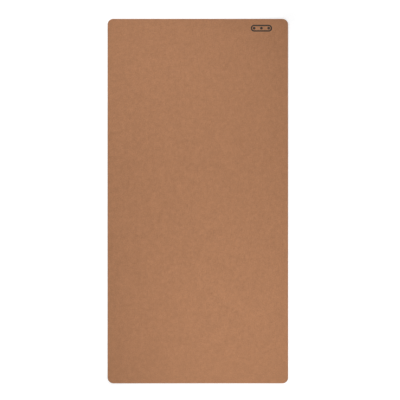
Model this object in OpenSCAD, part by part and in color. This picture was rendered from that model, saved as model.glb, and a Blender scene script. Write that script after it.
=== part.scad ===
// Desk mat: a thin sheet laminated from five full-size layers, lying flat on a desk.
// The working face looks up +Z and the cork underside rests on z = 0.
// X runs across the short side and Y along the long side, with the mark at the +Y end.
// The origin is the middle of the underside.

/* [Outline] */
// Width of the mat across its short side
mat_w = 396; // [300:2:450]
// Length of the mat along its long side
mat_l = 800; // [600:5:900]
// Radius of the four die-cut corners
corner_r = 12.5; // [6:0.5:30]

/* [Layers] */
// Thickness of the cork underside
cork_t = 1; // [0.8:0.1:3]
// Thickness of the adhesive film between the cork and the artificial leather
bond_t = 0.1; // [0.05:0.05:0.2]
// Thickness of the woven cloth that backs the artificial leather
cloth_t = 0.4; // [0.3:0.05:0.8]
// Thickness of the foamed polyurethane coat on the cloth
foam_t = 0.3; // [0.2:0.05:0.6]
// Thickness of the compact polyurethane skin, which is the working face
skin_t = 0.2; // [0.15:0.05:0.4]

/* [Mark] */
// Length of the mark across the mat
mark_w = 47; // [40:1:60]
// Height of the mark along the mat
mark_h = 15; // [13:1:20]
// Width of the line that runs round the dots
mark_line = 3; // [1:0.2:3]
// Diameter of each dot in the mark
dot_d = 6; // [2:0.5:6]
// Number of dots in the mark
dot_count = 3; // [2:1:4]
// Depth of the mark, which is pressed in flush with the working face
mark_t = 0.05; // [0.02:0.01:0.1]
// Distance from the mark to the mat's right-hand edge
mark_side_gap = 35; // [15:1:60]
// Distance from the mark to the mat's +Y edge
mark_end_gap = 13; // [8:1:40]

/* [Hidden] */

// Height of each layer's lower face, counted up from the underside
bond_z = cork_t;
cloth_z = bond_z + bond_t;
foam_z = cloth_z + cloth_t;
skin_z = foam_z + foam_t;
top_z = skin_z + skin_t;

// Middle of the mark on the working face
mark_x = mat_w / 2 - mark_side_gap - mark_w / 2;
mark_y = mat_l / 2 - mark_end_gap - mark_h / 2;
// The mark's dots are spread over its straight run
mark_run = mark_w - mark_h;
dot_pitch = mark_run / (dot_count - 1);

// How far the pocket's cutter stands above the working face
cut_over = 1;
// Facets of a full circle
$fn = 96;

// A rectangle with round corners, centred on the origin
module round_rectangle(w, l, r) {
    square([w - 2 * r, l], center = true);
    square([w, l - 2 * r], center = true);
    for (x = [-1, 1], y = [-1, 1])
        translate([x * (w / 2 - r), y * (l / 2 - r)])
            circle(r = r);
}

// One full-size layer of the laminate
module layer(z, t) {
    translate([0, 0, z])
        linear_extrude(t)
            round_rectangle(mat_w, mat_l, corner_r);
}

// A bar with round ends, as long between the ends' centres as the mark's straight run
module capsule(h) {
    square([mark_run, h], center = true);
    for (x = [-1, 1])
        translate([x * mark_run / 2, 0])
            circle(d = h);
}

// A capsule-shaped line round a row of dots: plain decoration, with no letters in it
module mark_outline() {
    translate([mark_x, mark_y]) {
        difference() {
            capsule(mark_h);
            capsule(mark_h - 2 * mark_line);
        }
        for (i = [0 : dot_count - 1])
            translate([i * dot_pitch - mark_run / 2, 0])
                circle(d = dot_d);
    }
}

// Pressed cork granules, the underside that rests on the desk
module cork_base() {
    color([0.76, 0.60, 0.42])
        layer(0, cork_t);
}

// Contact adhesive that joins the cork to the cloth
module bond_film() {
    color([0.88, 0.84, 0.74])
        layer(bond_z, bond_t);
}

// Woven cloth that gives the artificial leather its strength
module backing_cloth() {
    color([0.80, 0.74, 0.66])
        layer(cloth_z, cloth_t);
}

// Soft foamed coat between the cloth and the skin
module foam_layer() {
    color([0.60, 0.43, 0.31])
        layer(foam_z, foam_t);
}

// Grained skin, with a shallow pocket that holds the mark
module wear_skin() {
    color([0.67, 0.48, 0.35])
        difference() {
            layer(skin_z, skin_t);
            translate([0, 0, top_z - mark_t])
                linear_extrude(mark_t + cut_over)
                    mark_outline();
        }
}

// Dark pigment pressed into the pocket, flush with the working face
module printed_mark() {
    color([0.20, 0.17, 0.14])
        translate([0, 0, top_z - mark_t])
            linear_extrude(mark_t)
                mark_outline();
}

cork_base();
bond_film();
backing_cloth();
foam_layer();
wear_skin();
printed_mark();
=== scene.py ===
import math

import bpy
import numpy as np
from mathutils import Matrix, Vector, noise


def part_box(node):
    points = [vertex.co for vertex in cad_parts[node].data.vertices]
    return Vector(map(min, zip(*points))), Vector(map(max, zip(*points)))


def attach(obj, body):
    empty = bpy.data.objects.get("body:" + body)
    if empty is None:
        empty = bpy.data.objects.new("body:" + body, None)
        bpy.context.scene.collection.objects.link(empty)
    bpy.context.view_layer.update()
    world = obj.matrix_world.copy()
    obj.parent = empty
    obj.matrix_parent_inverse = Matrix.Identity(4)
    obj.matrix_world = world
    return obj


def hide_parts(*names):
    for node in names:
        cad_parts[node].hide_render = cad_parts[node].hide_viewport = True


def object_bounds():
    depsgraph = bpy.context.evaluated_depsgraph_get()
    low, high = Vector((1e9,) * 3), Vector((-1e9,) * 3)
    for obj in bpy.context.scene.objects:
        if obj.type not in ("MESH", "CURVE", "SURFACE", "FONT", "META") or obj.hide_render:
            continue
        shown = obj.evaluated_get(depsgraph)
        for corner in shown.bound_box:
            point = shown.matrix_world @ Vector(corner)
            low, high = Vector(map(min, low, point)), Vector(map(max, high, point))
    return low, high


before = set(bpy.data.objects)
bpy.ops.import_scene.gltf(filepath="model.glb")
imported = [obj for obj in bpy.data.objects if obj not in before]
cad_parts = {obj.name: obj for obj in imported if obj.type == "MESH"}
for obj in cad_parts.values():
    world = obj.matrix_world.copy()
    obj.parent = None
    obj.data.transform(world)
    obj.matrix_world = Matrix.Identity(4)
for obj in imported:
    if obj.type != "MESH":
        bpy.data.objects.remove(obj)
CAD_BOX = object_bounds()

# A desk mat lies on the floor, working face up, and the camera looks straight down at it.
# Everything is in metres, in the CAD frame: X across, Y towards the end with the mark, Z up.
MM = 0.001

# ---------------------------------------------------------------- sizes, from the frame

HALF_W = CAD_BOX[1].x
HALF_L = CAD_BOX[1].y
TOP_Z = CAD_BOX[1].z
MARK_LOW, MARK_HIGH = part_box("printed_mark")


def corner_radius():
    """How far the straight stretch of the outline's +Y edge stops short of the side."""
    points = [v.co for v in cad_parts["cork_base"].data.vertices]
    straight = max(p.x for p in points if p.y > HALF_L - 0.01 * MM)
    return HALF_W - straight


CORNER_R = corner_radius()

# The mark is a capsule-shaped line round a row of dots, with the CAD model's line and dots
MARK_LINE = 3 * MM
MARK_DOTS = 3
MARK_DOT_R = 3 * MM
MARK_MIDDLE = (MARK_LOW + MARK_HIGH) / 2
MARK_END_R = (MARK_HIGH.y - MARK_LOW.y) / 2
MARK_RUN = MARK_HIGH.x - MARK_LOW.x - 2 * MARK_END_R
MARK_DOT_XS = np.linspace(-MARK_RUN / 2, MARK_RUN / 2, MARK_DOTS) + MARK_MIDDLE.x

# How the cut edge is shaped
ROLL_WIDTH = 3.4 * MM
ROLL_DROP = 0.2 * MM
LIP_WIDTH = 0.25 * MM
LIP_DROP = 0.09 * MM

# How the mark is pressed into the skin
PRESS_DEPTH = 0.06 * MM
PRESS_SHOULDER = 0.5 * MM
PIGMENT_SINK = 0.02 * MM
PIGMENT_ROUND = 0.12 * MM

# How far the sheet stands off the floor between the places where it touches, and how long its waves are
LIFT = 0.3 * MM
WAVE_ALONG = 0.46
WAVE_ACROSS = 0.31
WAVE_SKEW = 0.9

# ---------------------------------------------------------------- the shape of the sheet


def lift(x, y):
    """How far the whole laminate stands off the floor at x, y, from 0 to LIFT."""
    along = np.sin(2 * math.pi * y / WAVE_ALONG + 0.6)
    across = np.sin(2 * math.pi * x / WAVE_ACROSS + 2 * math.pi * y / WAVE_SKEW)
    return LIFT * (0.5 + 0.3 * along + 0.2 * across)


def roll(inset):
    """How far the working face has dropped at a distance inset from the cut edge."""
    near = np.clip(1 - inset / ROLL_WIDTH, 0, 1)
    return ROLL_DROP * near * near


def lip(inset):
    """The tight rounding that the cutting die leaves on the outermost edge of the working face."""
    near = np.clip(1 - inset / LIP_WIDTH, 0, 1)
    return LIP_DROP * (1 - np.sqrt(1 - near * near))


def mark_distance(x, y):
    """Distance from x, y to the mark's outline, below 0 where there is pigment."""
    across = np.maximum(np.abs(x - MARK_MIDDLE.x) - MARK_RUN / 2, 0)
    from_capsule = np.hypot(across, y - MARK_MIDDLE.y) - MARK_END_R
    distance = np.abs(from_capsule + MARK_LINE / 2) - MARK_LINE / 2
    for dot_x in MARK_DOT_XS:
        distance = np.minimum(distance, np.hypot(x - dot_x, y - MARK_MIDDLE.y) - MARK_DOT_R)
    return distance


def press(x, y):
    """How deep the working face is pressed at x, y, with soft shoulders round the mark."""
    t = np.clip(1 - mark_distance(x, y) / PRESS_SHOULDER, 0, 1)
    return PRESS_DEPTH * t * t * (3 - 2 * t)


def height(x, y, inset, level):
    """Z of the laminate's level, counted from its underside, at x, y and a distance inset from the edge."""
    share = level / TOP_Z
    return level + lift(x, y) - roll(inset) * share * share


# ---------------------------------------------------------------- grids, loops and faces

# Grid lines across the flat middle, and finer ones under the mark and a little past it
GRID_PITCH = 6 * MM
MARK_PITCH = 0.4 * MM
MARK_REACH = 1.5 * MM
ARC_STEPS = 14

# Insets of the loops between the flat middle and the cut edge, coarse ones first
WIDE_INSETS = [9.5 * MM, 6.5 * MM, 4.6 * MM, 3.4 * MM]
EDGE_INSETS = [2.6 * MM, 1.8 * MM, 1.1 * MM, 0.6 * MM, 0.25 * MM, 0.12 * MM, 0.04 * MM]


def even_lines(low, high):
    """Grid lines from low to high, about GRID_PITCH apart."""
    return np.linspace(low, high, round((high - low) / GRID_PITCH) + 1)


def graded_lines(low, high, fine_low, fine_high):
    """Grid lines from low to high, MARK_PITCH apart between fine_low and fine_high."""
    ends = [low, fine_low, fine_high, high]
    pitches = [GRID_PITCH, MARK_PITCH, GRID_PITCH]
    runs = [
        np.linspace(a, b, max(round((b - a) / pitch), 1) + 1)
        for a, b, pitch in zip(ends, ends[1:], pitches)
        if b - a > MARK_PITCH / 2
    ]
    return np.unique(np.round(np.concatenate(runs), 9))


def outline_rays(lines_x, lines_y):
    """The outline's rays, anticlockwise: a base on the flat middle's border, an angle and a grid place.

    A ray's point at a given inset is CORNER_R - inset out from its base. On a corner arc every ray starts
    from the arc's centre, which is a corner of the flat middle.
    """
    last_x, last_y = len(lines_x) - 1, len(lines_y) - 1
    up, left = list(range(last_y + 1)), list(range(last_x, -1, -1))
    sides = [
        [(last_x, j) for j in up],
        [(i, last_y) for i in left],
        [(0, j) for j in reversed(up)],
        [(i, 0) for i in reversed(left)],
    ]
    base, angle, place = [], [], []
    for turn, side in enumerate(sides):
        quarter = turn * math.pi / 2
        for i, j in side:
            base.append((lines_x[i], lines_y[j]))
            angle.append(quarter)
            place.append((i, j))
        for step in range(1, ARC_STEPS):
            base.append(base[-1])
            angle.append(quarter + step / ARC_STEPS * math.pi / 2)
            place.append(place[-1])
    return np.array(base), np.array(angle), place


def subdivided(base, angle, parts):
    """The rays with parts - 1 more of them between each two."""
    next_base = np.roll(base, -1, axis=0)
    next_angle = np.roll(angle, -1)
    next_angle[-1] += 2 * math.pi
    share = np.arange(parts) / parts
    fine_base = base[:, None] + (next_base - base)[:, None] * share[None, :, None]
    fine_angle = angle[:, None] + (next_angle - angle)[:, None] * share
    return fine_base.reshape(-1, 2), fine_angle.ravel()


def grid_faces(columns, rows, start, upward):
    """Quads of a grid whose vertices are numbered from start, row by row along Y within each column."""
    faces = []
    for i in range(columns - 1):
        for j in range(rows - 1):
            a = start + i * rows + j
            quad = (a, a + rows, a + rows + 1, a + 1)
            faces.append(quad if upward else quad[::-1])
    return faces


def ring_faces(first, second, parts_first=1, parts_second=1):
    """Faces between two closed loops of vertex numbers, where one loop may have more parts to each ray."""
    rays = len(first) // parts_first
    faces = []
    for ray in range(rays):
        near = [first[(ray * parts_first + k) % len(first)] for k in range(parts_first + 1)]
        far = [second[(ray * parts_second + k) % len(second)] for k in range(parts_second + 1)]
        if parts_first == parts_second:
            quads = [(near[k], far[k], far[k + 1], near[k + 1]) for k in range(parts_first)]
        else:
            quads = [(near[0], *far, *near[:0:-1])]
        for quad in quads:
            corners = list(dict.fromkeys(quad))
            if len(corners) > 2:
                faces.append(corners)
    return faces


def link(name, points, faces):
    """A new object in the scene: smooth, with a crease where two faces meet at more than 40 degrees."""
    mesh = bpy.data.meshes.new(name)
    mesh.from_pydata(points, [], faces)
    mesh.validate()
    mesh.shade_smooth()
    mesh.set_sharp_from_angle(angle=math.radians(40))
    piece = bpy.data.objects.new(name, mesh)
    bpy.context.scene.collection.objects.link(piece)
    return piece


# ---------------------------------------------------------------- the layers


class Layer:
    """One layer of the laminate, from level low to level high, as it grows into a closed mesh.

    wall(points, share) gives how far the cut edge stands out at each point, where share runs from 0 at the
    layer's upper face to 1 at its lower face. parts is how many times finer the loops near the edge are.
    """

    def __init__(self, low, high, wall, parts, is_top):
        self.low = low
        self.high = high
        self.wall = wall
        self.parts = parts
        self.is_top = is_top
        self.points = []
        self.faces = []
        self.near_edge = []
        self.loops = []
        half_x, half_y = HALF_W - CORNER_R, HALF_L - CORNER_R
        if is_top:
            self.lines_x = graded_lines(-half_x, half_x, MARK_LOW.x - MARK_REACH, MARK_HIGH.x + MARK_REACH)
            self.lines_y = graded_lines(-half_y, half_y, MARK_LOW.y - MARK_REACH, half_y)
        else:
            self.lines_x = even_lines(-half_x, half_x)
            self.lines_y = even_lines(-half_y, half_y)
        self.base, self.angle, self.place = outline_rays(self.lines_x, self.lines_y)
        self.fine_base, self.fine_angle = subdivided(self.base, self.angle, parts)

    def add_points(self, x, y, z, near_edge):
        """Adds vertices and returns the first one's number."""
        start = sum(len(block) for block in self.points)
        self.points.append(np.column_stack([x, y, z]))
        self.near_edge.append(np.full(len(x), near_edge, np.float32))
        return start

    def add_middle(self, upward):
        """The flat middle of the upper or lower face."""
        x, y = (values.ravel() for values in np.meshgrid(self.lines_x, self.lines_y, indexing="ij"))
        z = height(x, y, CORNER_R, self.high if upward else self.low)
        if upward and self.is_top:
            z = z - press(x, y)
        start = self.add_points(x, y, z, 0)
        rows = len(self.lines_y)
        self.faces.extend(grid_faces(len(self.lines_x), rows, start, upward))
        self.loops.append(([start + i * rows + j for i, j in self.place], 1))

    def add_loop(self, inset, upward, finely):
        """A loop round the upper or lower face, at a distance inset from the cut edge."""
        base, angle = (self.fine_base, self.fine_angle) if finely else (self.base, self.angle)
        reach = CORNER_R - inset
        x = base[:, 0] + np.cos(angle) * reach
        y = base[:, 1] + np.sin(angle) * reach
        z = height(x, y, inset, self.high if upward else self.low)
        if upward and self.is_top:
            z = z - lip(inset) - press(x, y)
        start = self.add_points(x, y, z, max(0, 1 - inset / ROLL_WIDTH))
        self.loops.append((list(range(start, start + len(x))), self.parts if finely else 1))

    def add_wall(self, share):
        """A loop on the cut edge, at share of the way down from the layer's upper face."""
        out = np.column_stack([np.cos(self.fine_angle), np.sin(self.fine_angle)])
        x, y = (self.fine_base + out * CORNER_R).T
        upper = height(x, y, 0, self.high)
        if self.is_top:
            upper = upper - lip(0)
        z = upper + (height(x, y, 0, self.low) - upper) * share
        stand = self.wall(np.column_stack([x, y, z]), share)
        start = self.add_points(x + out[:, 0] * stand, y + out[:, 1] * stand, z, 1)
        self.loops.append((list(range(start, start + len(x))), self.parts))

    def build(self, name, wall_rows):
        """Makes the mesh, from the middle of the upper face, out over the edge and back underneath."""
        self.add_middle(True)
        for inset in WIDE_INSETS:
            self.add_loop(inset, True, False)
        for inset in EDGE_INSETS:
            self.add_loop(inset, True, True)
        for row in range(wall_rows + 1):
            self.add_wall(row / wall_rows)
        for inset in reversed(EDGE_INSETS):
            self.add_loop(inset, False, True)
        for inset in reversed(WIDE_INSETS):
            self.add_loop(inset, False, False)
        self.add_middle(False)
        for (first, parts_first), (second, parts_second) in zip(self.loops, self.loops[1:]):
            self.faces.extend(ring_faces(first, second, parts_first, parts_second))
        piece = link(name, np.concatenate(self.points), self.faces)
        worn = piece.data.attributes.new("near_edge", "FLOAT", "POINT")
        worn.data.foreach_set("value", np.concatenate(self.near_edge))
        return piece


# ---------------------------------------------------------------- how each layer's cut edge stands out


def smooth_wall(points, share):
    """The skin: cut clean, drawn out a hair where the die dragged it down."""
    return np.full(len(points), 0.02 * MM * share)


def hollow_wall(points, share):
    """The foam: it springs back and leaves a shallow hollow below the skin."""
    return np.full(len(points), -0.06 * MM * math.sin(math.pi * share))


def thread_wall(points, share):
    """The cloth: the ends of its threads stand out by different amounts."""
    thread = 0.9 * MM
    ends = [noise.noise(Vector(p) / thread) for p in points]
    bulge = math.sin(math.pi * share)
    return 0.07 * MM * np.array(ends) * bulge


def film_wall(points, share):
    """The adhesive: squeezed back a little between the cloth and the cork."""
    return np.full(len(points), -0.04 * MM * math.sin(math.pi * share))


def granule_wall(points, share):
    """The cork: each granule that the cut passes through stands out or is torn back."""
    granule = 1.9 * MM
    stand = []
    for p in points:
        centre = noise.voronoi(Vector(p) / granule)[1][0]
        stand.append(noise.cell(centre * 3.7) - 0.75)
    fade = math.sin(math.pi * min(max(share, 0.12), 0.88))
    return 0.16 * MM * np.array(stand) * fade


# ---------------------------------------------------------------- the mark


def capsule_loop(inset, end_steps=20, side_steps=10):
    """The mark's outer outline, moved in by inset, anticlockwise."""
    r = MARK_END_R - inset
    loop = []
    for side in (1, -1):
        for turn in np.linspace(-math.pi / 2, math.pi / 2, end_steps + 1):
            x = side * (MARK_RUN / 2 + r * math.cos(turn))
            loop.append((x, side * r * math.sin(turn)))
        for x in np.linspace(MARK_RUN / 2, -MARK_RUN / 2, side_steps + 1)[1:-1]:
            loop.append((side * x, side * r))
    return [(MARK_MIDDLE.x + x, MARK_MIDDLE.y + y) for x, y in loop]


def dot_loop(dot_x, inset, steps=28):
    """A dot's outline, moved in by inset, anticlockwise."""
    r = MARK_DOT_R - inset
    turns = np.linspace(0, 2 * math.pi, steps, endpoint=False)
    return [(dot_x + r * math.cos(turn), MARK_MIDDLE.y + r * math.sin(turn)) for turn in turns]


def pigment_rise():
    """Up the side of a patch of pigment and round its upper edge: how far in, and how high."""
    top = TOP_Z - PIGMENT_SINK
    foot = TOP_Z - PRESS_DEPTH - PIGMENT_SINK
    turns = np.linspace(0, math.pi / 2, 4)
    drop = 0.25 * PIGMENT_ROUND
    rounded = [(PIGMENT_ROUND * (1 - math.cos(t)), top - drop * (1 - math.sin(t))) for t in turns]
    return [(0, foot), *rounded]


def add_outline(points, outline, level):
    """Adds an outline's vertices at a level of the laminate, and returns their numbers."""
    start = len(points)
    points.extend((x, y, level + float(lift(x, y))) for x, y in outline)
    return list(range(start, len(points)))


def mark_mesh(name):
    """The pigment: thin closed patches with rounded upper edges, lying in the pressed places in the skin."""
    points, faces = [], []
    rise = pigment_rise()
    fall = [(MARK_LINE - inset, level) for inset, level in reversed(rise)]
    ring = [add_outline(points, capsule_loop(inset), level) for inset, level in rise + fall]
    for first, second in zip(ring, ring[1:] + ring[:1]):
        faces += ring_faces(second, first)
    for dot_x in MARK_DOT_XS:
        dot = [add_outline(points, dot_loop(dot_x, inset), level) for inset, level in rise]
        dot.append(add_outline(points, dot_loop(dot_x, MARK_DOT_R / 2), rise[-1][1]))
        for first, second in zip(dot, dot[1:]):
            faces += ring_faces(second, first)
        faces += [dot[-1], dot[0][::-1]]
    return link(name, points, faces)


# ---------------------------------------------------------------- materials


class Shader:
    """A new material's node tree, with short ways to add nodes and join them."""

    def __init__(self, name):
        self.material = bpy.data.materials.new(name)
        self.material.use_nodes = True
        self.tree = self.material.node_tree
        self.surface = self.tree.nodes["Principled BSDF"]
        self.place = self.add("ShaderNodeTexCoord").outputs["Object"]

    def feed(self, socket, value):
        """Gives a socket a value, or joins it to the output that feeds it."""
        if isinstance(value, bpy.types.NodeSocket):
            self.tree.links.new(value, socket)
        else:
            socket.default_value = value

    def add(self, kind, inputs=None, **settings):
        """Adds a node. inputs maps a socket's name or number to a value or to the output that feeds it."""
        node = self.tree.nodes.new(kind)
        for key, value in settings.items():
            setattr(node, key, value)
        for key, value in (inputs or {}).items():
            self.feed(node.inputs[key], value)
        return node

    def noise(self, size, detail=2.0):
        """Smooth noise from 0 to 1, with features about size across."""
        inputs = {"Vector": self.place, "Scale": 1 / size, "Detail": detail}
        return self.add("ShaderNodeTexNoise", inputs).outputs["Fac"]

    def cells(self, size, feature="F1", place=None):
        """A pattern of irregular cells, size across."""
        inputs = {"Vector": place or self.place, "Scale": 1 / size}
        return self.add("ShaderNodeTexVoronoi", inputs, feature=feature).outputs

    def math(self, operation, a, b=0.0):
        return self.add("ShaderNodeMath", {0: a, 1: b}, operation=operation).outputs[0]

    def product(self, first, *others):
        """All the values multiplied together."""
        for other in others:
            first = self.math("MULTIPLY", first, other)
        return first

    def total(self, first, *others):
        """All the values added together."""
        for other in others:
            first = self.math("ADD", first, other)
        return first

    def crease(self, size, width, place):
        """1 along the borders between cells of that size, falling softly to 0 over a share of the cell."""
        edge = self.cells(size, "DISTANCE_TO_EDGE", place)["Distance"]
        return self.remap(edge, 0.0, width, 1.0, 0.0)

    def remap(self, value, low, high, to_low, to_high, smooth=True):
        """Carries low..high to to_low..to_high, and holds the ends."""
        kind = "SMOOTHSTEP" if smooth else "LINEAR"
        inputs = {"Value": value, 1: low, 2: high, 3: to_low, 4: to_high}
        return self.add("ShaderNodeMapRange", inputs, interpolation_type=kind).outputs[0]

    def vector(self, operation, a, b=(0.0, 0.0, 0.0)):
        return self.add("ShaderNodeVectorMath", {0: a, 1: b}, operation=operation).outputs["Vector"]

    def scaled(self, vector, factor):
        """A vector or colour times a number."""
        inputs = {0: vector, "Scale": factor}
        return self.add("ShaderNodeVectorMath", inputs, operation="SCALE").outputs["Vector"]

    def warped(self, size, reach, place=None):
        """The place, pushed about by noise, so that a pattern on it loses its regular look."""
        place = place or self.place
        inputs = {"Vector": place, "Scale": 1 / size, "Detail": 2.0}
        push = self.add("ShaderNodeTexNoise", inputs).outputs["Color"]
        centred = self.vector("SUBTRACT", push, (0.5, 0.5, 0.5))
        return self.vector("ADD", place, self.scaled(centred, reach))

    def distance_from_box(self, half_size):
        """How far the place lies outside a box about the origin, or 0 in it."""
        past = self.vector("SUBTRACT", self.vector("ABSOLUTE", self.place), half_size)
        past = self.vector("MAXIMUM", past)
        return self.add("ShaderNodeVectorMath", {0: past}, operation="LENGTH").outputs["Value"]

    def channels(self, colour):
        """The three channels of a colour, as separate values."""
        return self.add("ShaderNodeSeparateColor", {0: colour}).outputs

    def blend(self, factor, a, b):
        """Mixes two colours."""
        node = self.add("ShaderNodeMix", data_type="RGBA")
        for name, value in (("Factor_Float", factor), ("A_Color", a), ("B_Color", b)):
            socket = next(s for s in node.inputs if s.identifier == name)
            self.feed(socket, value)
        return next(s for s in node.outputs if s.identifier == "Result_Color")

    def bump(self, value, depth, below=None):
        """A bump of that depth in metres, on top of the bump below."""
        inputs = {"Height": value, "Distance": depth, "Strength": 1.0}
        if below is not None:
            inputs["Normal"] = below
        return self.add("ShaderNodeBump", inputs).outputs[0]

    def wire(self, **inputs):
        """Feeds the Principled shader; an underscore in a name stands for a space."""
        for key, value in inputs.items():
            self.feed(self.surface.inputs[key.replace("_", " ")], value)


# Colours in linear light
LEATHER = (0.392, 0.1778, 0.0824)
PIGMENT = (0.025, 0.019, 0.0135)
FOAM = (0.33, 0.165, 0.092)
CLOTH = (0.62, 0.53, 0.42)
ADHESIVE = (0.72, 0.64, 0.47)
CORK_PALE = (0.66, 0.42, 0.21, 1.0)
CORK_TAN = (0.50, 0.285, 0.122, 1.0)
CORK_BROWN = (0.36, 0.185, 0.075, 1.0)
CORK_BARK = (0.11, 0.052, 0.025, 1.0)
WHITE = (1.0, 1.0, 1.0, 1.0)

# How strongly the floor glows beside the mat and far from it, and how far from the mat the rise takes
GLOW_NEAR = 0.31
GLOW_FAR = 0.62
GLOW_REACH = 0.12

# Sizes of what repeats in each material
PEBBLE = 1.9 * MM
FOAM_PORE = 0.16 * MM
THREAD = 0.55 * MM
BUBBLE = 0.5 * MM
CORK_GRANULE = 3 * MM
CORK_FINES = 1.15 * MM


def leather_grain(shader):
    """The pebbles pressed into the leather: how deep their creases are, from 0 to 1, and their height."""
    place = shader.warped(3.5 * MM, 0.8 * MM)
    place = shader.warped(1.3 * MM, 0.3 * MM, place)
    dome = shader.crease(PEBBLE, 0.5, place)
    wrinkle = shader.crease(0.35 * PEBBLE, 0.3, place)
    pressed = shader.remap(shader.noise(6 * MM), 0.3, 0.65, 0.62, 1.0)
    crease = shader.product(shader.crease(PEBBLE, 0.17, place), pressed)
    depth = shader.total(crease, shader.product(dome, 0.6), shader.product(wrinkle, 0.2))
    return crease, shader.math("SUBTRACT", 1.0, depth)


def leather_material():
    """Fine-grained brown artificial leather, slightly burnished where the die cut it, with painted shade
    darkening the creases of its grain.
    """
    shader = Shader("brown_leather_grain")
    crease, relief = leather_grain(shader)
    clouds = shader.noise(40 * MM, 3.0)
    patches = shader.noise(9 * MM)
    mottle = shader.noise(2.6 * MM, 3.0)
    near_edge = shader.add("ShaderNodeAttribute", attribute_name="near_edge").outputs["Fac"]
    tone = shader.product(
        # painted shade: the creases of the grain are darkened in the colour, as if shadowed
        shader.remap(crease, 0.0, 1.0, 1.01, 0.92),
        shader.remap(clouds, 0.3, 0.7, 0.985, 1.015),
        shader.remap(patches, 0.3, 0.7, 0.965, 1.035),
        shader.remap(mottle, 0.25, 0.75, 0.89, 1.11, smooth=False),
        shader.remap(near_edge, 0.55, 1.0, 1.0, 0.86),
    )
    dulling = shader.remap(crease, 0.0, 1.0, 0.56, 0.75)
    shader.wire(Base_Color=shader.scaled(LEATHER, tone))
    shader.wire(Roughness=shader.total(dulling, shader.remap(mottle, 0.3, 0.7, -0.05, 0.05)))
    fine = shader.bump(shader.noise(0.3 * MM), 0.012 * MM)
    shader.wire(Normal=shader.bump(relief, 0.22 * MM, fine))
    shader.wire(Specular_IOR_Level=0.35)
    return shader.material


def pigment_material():
    """Dark satin pigment, with the leather's grain showing through it."""
    shader = Shader("dark_pigment")
    crease, relief = leather_grain(shader)
    tone = shader.product(
        shader.remap(shader.noise(2.2 * MM, 3.0), 0.35, 0.75, 0.9, 1.25),
        shader.remap(crease, 0.0, 1.0, 1.0, 1.25),
    )
    shader.wire(Base_Color=shader.scaled(PIGMENT, tone))
    shader.wire(Roughness=shader.remap(crease, 0.0, 1.0, 0.46, 0.62))
    shader.wire(Normal=shader.bump(relief, 0.12 * MM))
    shader.wire(Specular_IOR_Level=0.3)
    return shader.material


def foam_material():
    """Brown foamed polyurethane, seen at the cut edge as fine open pores, with painted shade darkening the
    middle of each pore.
    """
    shader = Shader("brown_foam_pores")
    wall = shader.remap(shader.cells(FOAM_PORE)["Distance"], 0.1, 0.5, 0.0, 1.0)
    tone = shader.product(
        # painted shade: the middle of each pore is darkened in the colour, where its hollow would be shadowed
        shader.remap(wall, 0.0, 1.0, 0.7, 1.05),
        shader.remap(shader.noise(3 * MM), 0.3, 0.7, 0.93, 1.07),
    )
    shader.wire(Base_Color=shader.scaled(FOAM, tone))
    shader.wire(Roughness=shader.remap(wall, 0.0, 1.0, 0.95, 0.8))
    shader.wire(Normal=shader.bump(wall, 0.05 * MM))
    return shader.material


def cloth_material():
    """Undyed backing cloth: a plain weave with slubs, and loose fibre at the cut edge."""
    shader = Shader("undyed_weave")
    place = shader.scaled(shader.warped(3 * MM, 0.15 * MM), 2 * math.pi / THREAD)
    across, along = shader.add("ShaderNodeSeparateXYZ", {0: place}).outputs[:2]
    crossing = shader.product(shader.math("SINE", across), shader.math("SINE", along))
    weave = shader.remap(crossing, -0.8, 0.8, 0.0, 1.0)
    fibre = shader.noise(0.12 * MM, 3.0)
    tone = shader.product(
        shader.remap(weave, 0.0, 1.0, 0.82, 1.04),
        shader.remap(shader.noise(4 * MM), 0.3, 0.7, 0.93, 1.05),
    )
    shader.wire(Base_Color=shader.scaled(CLOTH, tone))
    shader.wire(Roughness=shader.remap(fibre, 0.3, 0.7, 0.85, 0.98))
    shader.wire(Normal=shader.bump(weave, 0.12 * MM, shader.bump(fibre, 0.03 * MM)))
    shader.wire(Sheen_Weight=0.15)
    return shader.material


def film_material():
    """Cream contact adhesive with small trapped bubbles."""
    shader = Shader("cream_adhesive")
    film = shader.remap(shader.cells(BUBBLE)["Distance"], 0.12, 0.3, 0.0, 1.0)
    tone = shader.product(
        shader.remap(film, 0.0, 1.0, 1.08, 1.0),
        shader.remap(shader.noise(6 * MM), 0.3, 0.7, 0.92, 1.05),
    )
    shader.wire(Base_Color=shader.scaled(ADHESIVE, tone))
    shader.wire(Roughness=shader.remap(film, 0.0, 1.0, 0.3, 0.45))
    shader.wire(Normal=shader.bump(film, 0.03 * MM))
    return shader.material


def cork_material():
    """Pressed cork: rough granules of several tones, finer ones between them, bark flecks, gaps and pores."""
    shader = Shader("pressed_cork_granules")
    place = shader.warped(2.4 * MM, 0.9 * MM)
    place = shader.warped(0.55 * MM, 0.28 * MM, place)
    granule = shader.channels(shader.cells(CORK_GRANULE, "F1", place)["Color"])
    fines = shader.channels(shader.cells(CORK_FINES, "F1", place)["Color"])
    border = shader.crease(CORK_GRANULE, 0.08, place)
    whole = shader.blend(granule[0], CORK_PALE, CORK_TAN)
    crushed = shader.blend(fines[0], CORK_PALE, CORK_BROWN)
    base = shader.blend(shader.remap(granule[1], 0.55, 0.62, 0.0, 1.0), whole, crushed)
    base = shader.blend(shader.remap(fines[1], 0.925, 0.935, 0.0, 0.9), base, CORK_BARK)
    gap = shader.remap(shader.noise(1.6 * MM), 0.46, 0.62, 0.06, 0.6)
    base = shader.blend(shader.product(border, gap), base, CORK_BARK)
    pores = shader.noise(0.32 * MM)
    shader.wire(Base_Color=shader.scaled(base, shader.remap(pores, 0.33, 0.67, 0.86, 1.07)))
    shader.wire(Roughness=shader.remap(granule[2], 0.0, 1.0, 0.78, 0.92, smooth=False))
    relief = shader.bump(shader.math("SUBTRACT", 1.0, border), 0.14 * MM)
    shader.wire(Normal=shader.bump(pores, 0.06 * MM, relief))
    shader.wire(Specular_IOR_Level=0.3)
    return shader.material


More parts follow.
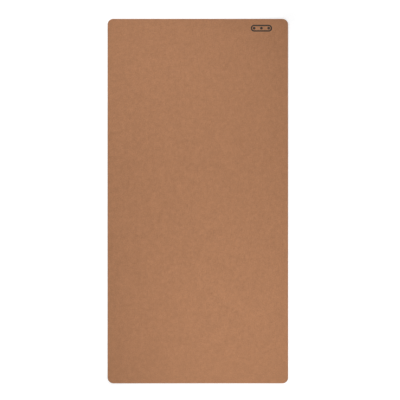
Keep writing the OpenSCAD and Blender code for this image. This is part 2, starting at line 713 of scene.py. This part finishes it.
def floor_material():
    """A plain pale studio floor that glows from within, more so where the lamps don't reach it."""
    shader = Shader("pale_floor")
    tone = shader.remap(shader.noise(0.6), 0.3, 0.7, 0.75, 0.77)
    from_mat = shader.distance_from_box((HALF_W, HALF_L, 0.0))
    shader.wire(Base_Color=shader.scaled(WHITE[:3], tone))
    shader.wire(Roughness=0.9, Specular_IOR_Level=0.1)
    glow = shader.remap(from_mat, 0.0, GLOW_REACH, GLOW_NEAR, GLOW_FAR, smooth=False)
    shader.wire(Emission_Color=WHITE, Emission_Strength=glow)
    return shader.material


# ---------------------------------------------------------------- the object


def settle(piece, node, material):
    """Gives a piece its material, hangs it on the root body, and hides the CAD part that it stands for."""
    piece.data.materials.append(material)
    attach(piece, "root")
    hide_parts(node)


def make_layer(name, node, material, wall, wall_rows, parts=1, is_top=False):
    """Makes the piece that stands for one CAD layer."""
    low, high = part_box(node)
    layer = Layer(low.z, high.z, wall, parts, is_top)
    piece = layer.build(name, wall_rows)
    settle(piece, node, material)
    return piece


def make_mat():
    """Makes the laminate from the underside up, each layer lying on the one below."""
    cork = make_layer("cork_sheet", "cork_base", cork_material(), granule_wall, 7, parts=5)
    film = make_layer("glue_film", "bond_film", film_material(), film_wall, 2)
    weave = make_layer(
        "weave_backing", "backing_cloth", cloth_material(), thread_wall, 5, parts=6
    )
    foam = make_layer("foam_coat", "foam_layer", foam_material(), hollow_wall, 4)
    skin = make_layer(
        "leather_skin", "wear_skin", leather_material(), smooth_wall, 3, is_top=True
    )
    mark = mark_mesh("pressed_mark")
    settle(mark, "printed_mark", pigment_material())


make_mat()

# ---------------------------------------------------------------- the studio

# Width of floor that the picture spans, and where its middle lies from the mat's middle
VIEW_WIDTH = 0.878
VIEW_CENTRE = (0.0047, 0.0024)
LENS = 85
SENSOR = 36

# The floor is a disc, a hair below the mat, whose rim bends up through a quarter turn into the backdrop
FLOOR_R = 24
BEND_R = 6
BEND_STEPS = 12
FLOOR_DROP = 0.05 * MM
FLOOR_SIDES = 96


def make_floor():
    points = []
    for t in np.linspace(0, math.pi / 2, BEND_STEPS + 1):
        radius = FLOOR_R + BEND_R * math.sin(t)
        level = BEND_R * (1 - math.cos(t)) - FLOOR_DROP
        for turn in np.linspace(0, 2 * math.pi, FLOOR_SIDES, endpoint=False):
            points.append((radius * math.cos(turn), radius * math.sin(turn), level))
    loops = [list(range(start, start + FLOOR_SIDES)) for start in range(0, len(points), FLOOR_SIDES)]
    faces = [loops[0]]
    for first, second in zip(loops, loops[1:]):
        faces += ring_faces(first, second)
    floor = link("floor", points, faces)
    floor.data.materials.append(floor_material())


def make_camera():
    """A camera straight above the mat, with its long side up the picture."""
    data = bpy.data.cameras.new("camera")
    data.lens = LENS
    data.sensor_width = SENSOR
    data.clip_start = 0.05
    data.clip_end = 100
    camera = bpy.data.objects.new("camera", data)
    bpy.context.scene.collection.objects.link(camera)
    camera.location = (*VIEW_CENTRE, TOP_Z + VIEW_WIDTH * LENS / SENSOR)
    bpy.context.scene.camera = camera


def make_light(name, power, size, place, target):
    """A soft square lamp at place that faces target, unseen by the camera."""
    data = bpy.data.lights.new(name, "AREA")
    data.energy = power
    data.size = size
    lamp = bpy.data.objects.new(name, data)
    bpy.context.scene.collection.objects.link(lamp)
    lamp.location = place
    aim = Vector(target) - Vector(place)
    lamp.rotation_euler = aim.to_track_quat("-Z", "Y").to_euler()
    lamp.visible_camera = False


def make_studio():
    """White light from all round, and two soft lamps that leave the left edge and a corner a bit darker."""
    world = bpy.data.worlds.new("studio")
    bpy.context.scene.world = world
    world.use_nodes = True
    background = world.node_tree.nodes["Background"]
    background.inputs["Color"].default_value = WHITE
    background.inputs["Strength"].default_value = 0.5
    make_light("key", power=1.8, size=0.6, place=(0.12, -0.37, 0.46), target=(0.32, -0.33, 0))
    make_light("fill", power=2.3, size=0.6, place=(-0.08, 0.39, 0.51), target=(-0.39, -0.34, 0))
    bpy.context.scene.view_settings.view_transform = "Standard"


make_floor()
make_camera()
make_studio()
